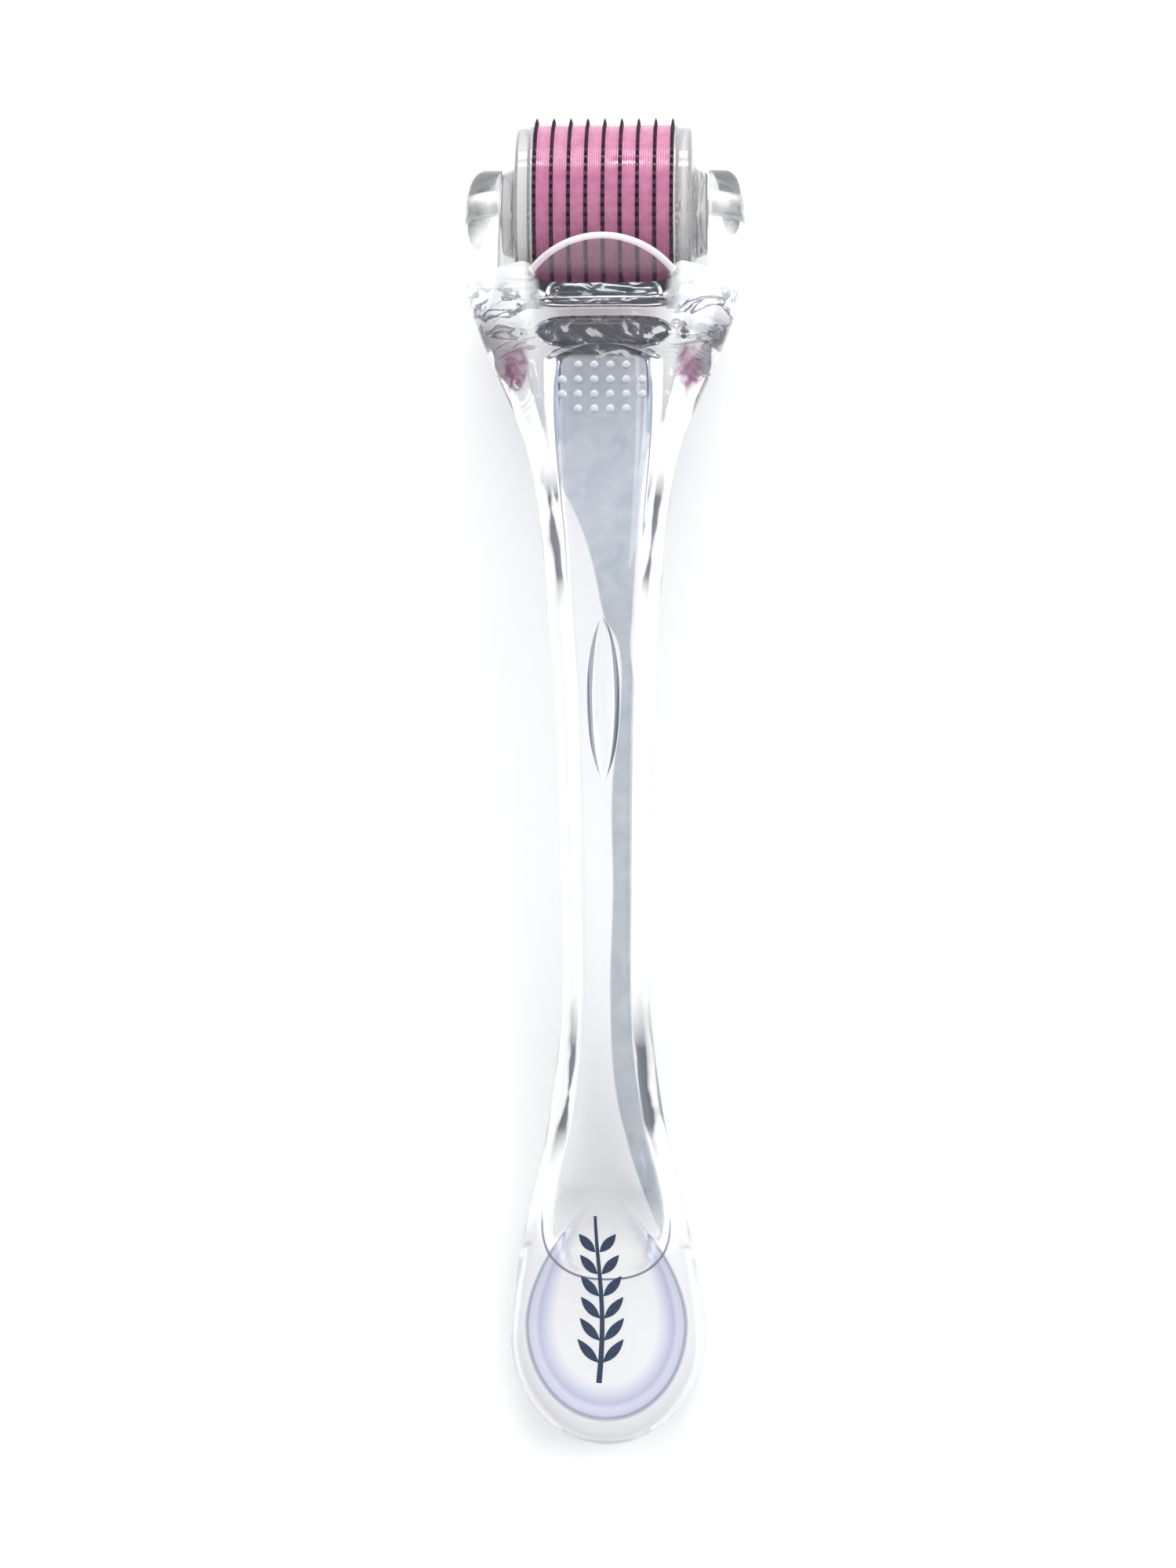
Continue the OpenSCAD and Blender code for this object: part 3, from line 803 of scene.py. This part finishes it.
def handle_plastic():
    """The handle's clear plastic with painted shade and painted reflections. The top of the tail and of the
    shoulders is made half diffuse white: painted light there, a painted highlight on the shoulders.
    """
    p = clear_plastic("clear_handle", CLEAR, HANDLE_IOR, 0.01)
    colour = p.base_colour()
    x, y, z = p.position()
    size = p.calc("ABSOLUTE", x)
    top = p.fade(z, 4, 4.5)
    tail_top = p.product(top, p.fade(y, *TAIL_FADE))
    # painted shade and painted reflections, mixed over the clear plastic's colour
    for amount, tint in (
        dish_shade_ring(p, x, y, tail_top),
        channel_end_shade_line(p, y, size, top),
        flank_dark_reflections(p, y, z),
        pink_reflection_patch(p, y, z, size),
        shoulder_dark_reflections(p, y, size),
    ):
        colour = p.mixed(amount, colour, tint)
    # painted highlight on the shoulders and painted light on the tail's top: the plastic there is made half
    # diffuse white
    shoulder = p.product(p.fade(size, *SHOULDER_X), p.fade(y, *SHOULDER_Y), p.fade(z, *SHOULDER_Z))
    painted_light = p.calc("MAXIMUM", tail_top, shoulder)
    p.surface(Base_Color=colour, Transmission_Weight=p.ranged(painted_light, 0, 1, 1, 0.5))
    return p.owner


def chamber_plastic():
    """The chamber's wall: clear in the middle, rougher at its two sides, and there painted dark reflections
    in streaks and a half diffuse white painted highlight.
    """
    p = clear_plastic("clear_wall", CLEAR, HANDLE_IOR, 0.02)
    x, y, _ = p.position()
    size = p.calc("ABSOLUTE", x)
    side = p.fade(size, *WALL_SIDE)
    # painted highlight: the wall's sides are made half diffuse white
    painted_light = p.product(side, p.fade(size, *WALL_FACE), p.fade(y, *WALL_FRONT))
    # painted dark reflections, in streaks
    streaks = p.ramp(
        p.noise(260.0, 3.0, 1.6, (0.5, 1.6, 1.0)),
        (0.5, CLEAR), (0.56, (0.2, 0.23, 0.3)), (0.6, (0.3, 0.34, 0.42)), (0.66, CLEAR),
    )
    p.surface(
        Base_Color=p.mixed(painted_light, p.base_colour(), streaks),
        Roughness=p.ranged(side, 0, 1, 0.02, 0.4),
        Transmission_Weight=p.ranged(painted_light, 0, 1, 1, 0.12),
    )
    return p.owner


def painted_dark_reflection(p):
    """Painted dark reflection: dark blue-grey with clear swirls."""
    swirl = p.noise(380.0, 4.0, 2.2, (0.6, 1.0, 1.0))
    dark, grey, clear = (0.0005, 0.001, 0.003), (0.01, 0.016, 0.035), (0.97, 0.98, 1.0)
    return p.ramp(swirl, (0.46, dark), (0.55, grey), (0.6, clear))


def pocket_plastic():
    """The pocket's roof: a painted dark reflection, with clear swirls."""
    p = clear_plastic("pocket_painted_reflection", (0.9, 0.9, 0.9), HANDLE_IOR, 0.02)
    p.surface(Base_Color=painted_dark_reflection(p))
    return p.owner


def channel_plastic():
    """The channel's roof: blue-grey painted shade between two curved edges, a painted dark reflection at its
    front end, clear elsewhere.
    """
    p = clear_plastic("clear_channel_painted_shade", CLEAR, HANDLE_IOR, 0.012)
    x, y, _ = p.position()

    def edge(column):
        """How far a point is to the right of an edge."""
        points = [(row[0], row[column]) for row in SHADE_EDGES]
        return p.calc("SUBTRACT", x, p.curve(y, points, -EDGE_SPAN, EDGE_SPAN))

    between = p.product(p.fade(edge(1), -EDGE_SOFT, EDGE_SOFT), p.fade(edge(2), EDGE_SOFT, -EDGE_SOFT))
    cloud = p.noise(420.0, 5.0, 0.8)
    light = p.ramp(cloud, (0.3, (0.29, 0.36, 0.47)), (0.7, (0.46, 0.53, 0.62)))
    dark = p.ramp(cloud, (0.3, (0.175, 0.225, 0.285)), (0.7, (0.28, 0.33, 0.385)))
    # painted shade, lighter towards the head
    grey = p.mixed(p.fade(y, *GREY_LIGHTENS), dark, light)
    colour = p.mixed(between, CLEAR, grey)
    p.surface(Base_Color=p.mixed(p.fade(y, *DARK_REFLECTION_FADE), colour, painted_dark_reflection(p)))
    return p.owner


def pink_plastic():
    """The spacers' plastic, with a fine grain and a gloss that varies."""
    p = Paint(bpy.data.materials.new("pink_plastic"))
    grain = p.noise(900.0, 4.0)
    p.surface(
        Base_Color=p.ramp(grain, (0.3, (0.345, 0.1, 0.2)), (0.7, (0.42, 0.145, 0.26))),
        Roughness=p.ranged(p.noise(260.0, 2.0), 0.4, 0.6, 0.1, 0.34),
    )
    p.bump(grain, 0.12, 0.0001)
    return p.owner


def steel():
    """The discs' etched metal, dark and dull."""
    p = Paint(bpy.data.materials.new("needle_steel"))
    etched = p.noise(1500.0, 4.0)
    p.surface(
        Base_Color=p.ramp(etched, (0.3, (0.03, 0.015, 0.025)), (0.7, (0.06, 0.04, 0.055))),
        Roughness=p.ranged(etched, 0.3, 0.7, 0.32, 0.5),
        Metallic=0.5,
    )
    p.bump(etched, 0.2, 0.00005)
    return p.owner


def matt(name, scale, dark, light, rough):
    """Opaque plastic, ink or card with a fine grain."""
    p = Paint(bpy.data.materials.new(name))
    grain = p.noise(scale, 4.0)
    p.surface(
        Base_Color=p.ramp(grain, (0.3, dark), (0.7, light)),
        Roughness=p.ranged(grain, 0.3, 0.7, rough * 0.85, rough),
    )
    p.bump(grain, 0.08, 0.00005)
    return p.owner


# ---------------------------------------------------------------- build
def place(obj, body, slot, *nodes):
    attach(obj, body)
    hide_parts(*nodes)


clear = handle_plastic()
rim_clear = clear_plastic("clear_rim", (0.93, 0.91, 0.93), RIM_IOR, 0.3, 0.45).owner
dot_clear = clear_plastic("clear_dots", (0.97, 0.97, 0.98), SOFT_IOR, 0.1, 0.7).owner
cap_clear = clear_plastic("clear_cap", (0.94, 0.93, 0.93), SOFT_IOR, 0.1, 0.8).owner
pink, needle_mat = pink_plastic(), steel()
core_mat = matt("core_white", 600.0, (0.74, 0.74, 0.72), (0.84, 0.84, 0.82), 0.5)
navy = matt("print_navy", 2500.0, (0.004, 0.018, 0.055), (0.012, 0.035, 0.085), 0.45)
inner = {
    "wall": chamber_plastic(),
    "pocket": pocket_plastic(),
    "channel": channel_plastic(),
    # the groove's edges: a dark tint as painted shade
    "groove": clear_plastic("groove_edge_painted_shade", (0.13, 0.15, 0.19), HANDLE_IOR, 0.03).owner,
}

place(handle(clear, rim_clear, dot_clear, inner), "handle", "handle_clear", "handle")
for n in range(1, DISCS + 1):
    place(with_material(needle_ring(n), needle_mat), "roller", "needle_steel", f"needle_disc_{n}")
for n in range(1, DISCS):
    place(with_material(spacer(n), pink), "roller", "spacer_pink", f"spacer_ring_{n}")
for hand in ("left", "right"):
    place(with_material(end_cap(hand), cap_clear), "roller", "cap_clear", f"end_cap_{hand}")
place(with_material(core(), core_mat), "roller", "core_white", "core_tube")
mark = with_material(print_sprig(), navy)
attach(mark, "handle")

# ---------------------------------------------------------------- stage, light and camera
FLOOR_HALF = 1500
corners = [(x * FLOOR_HALF, y * FLOOR_HALF, 0) for x, y in ((-1, -1), (1, -1), (1, 1), (-1, 1))]
floor = new_object("floor", corners, [(0, 1, 2, 3)])
with_material(floor, matt("floor_white", 90.0, (0.955, 0.955, 0.96), (0.965, 0.965, 0.97), 0.9))

CAMERA_AT, CAMERA_TO, LENS = Vector((18, 0.45, 545)), Vector((-1.9, 0.15, 8)), 117
scene = bpy.context.scene
scene.view_settings.view_transform = "Standard"
cam = bpy.data.objects.new("camera", bpy.data.cameras.new("camera"))
scene.collection.objects.link(cam)
scene.camera = cam
cam.data.lens = LENS
cam.data.clip_start, cam.data.clip_end = 0.01, 10
cam.location = CAMERA_AT * MM
aim = (CAMERA_TO - CAMERA_AT).normalized()
right = aim.cross(Vector((0, 1, 0))).normalized()
up = right.cross(aim)
cam.rotation_mode = "QUATERNION"
cam.rotation_quaternion = Matrix((right, up, -aim)).transposed().to_quaternion()


def world():
    """Bright overhead. Near the horizon it is blue-grey to both sides, dark behind the tail, white ahead."""
    p = Paint(bpy.data.worlds.new("studio"))
    scene.world = p.owner
    coords, level = p.add("ShaderNodeTexCoord"), p.add("ShaderNodeVectorMath")
    level.operation = "MULTIPLY"
    level.inputs[1].default_value = (1, 1, 0)
    unit = p.add("ShaderNodeVectorMath")
    unit.operation = "NORMALIZE"
    height, around = p.add("ShaderNodeSeparateXYZ"), p.add("ShaderNodeSeparateXYZ")
    p.links.new(coords.outputs["Generated"], height.inputs["Vector"])
    p.links.new(coords.outputs["Generated"], level.inputs[0])
    p.links.new(level.outputs["Vector"], unit.inputs[0])
    p.links.new(unit.outputs["Vector"], around.inputs["Vector"])

    soft_white = (0.95, 0.95, 0.96)
    sides = p.ramp(
        p.fade(around.outputs["X"], -1, 1),
        (0.12, (0.36, 0.39, 0.44)), (0.38, soft_white), (0.45, soft_white), (0.62, (0.3, 0.35, 0.43)),
    )
    ahead = p.ramp(p.fade(around.outputs["Y"], -1, 1), (0.12, BLACK), (0.3, WHITE))
    horizon = p.mixed(ahead, (0.15, 0.17, 0.21), sides)
    overhead = p.ramp(p.fade(height.outputs["Z"], 0, 1), (0.3, BLACK), (0.5, WHITE))
    background = p.nodes["Background"]
    p.links.new(p.mixed(overhead, horizon, WHITE), background.inputs["Color"])
    background.inputs["Strength"].default_value = 1.12


def area(name, at, to, size, power):
    """Soft rectangular light at one point, aimed at another."""
    light = bpy.data.lights.new(name, "AREA")
    light.shape = "RECTANGLE"
    light.size, light.size_y = size[0] * MM, size[1] * MM
    light.energy = power
    lamp = bpy.data.objects.new(name, light)
    scene.collection.objects.link(lamp)
    lamp.location = Vector(at) * MM
    lamp.rotation_mode = "QUATERNION"
    lamp.rotation_quaternion = (Vector(to) - Vector(at)).to_track_quat("-Z", "Y")


world()
area("head_strip", (20, 608, 268), (0, 60, 15), (420, 30), 2.4)
area("right_soft", (600, 100, 500), (0, 0, 0), (400, 400), 1.5)
area("head_low", (0, 760, 130), (0, 60, 12), (420, 160), 2.2)
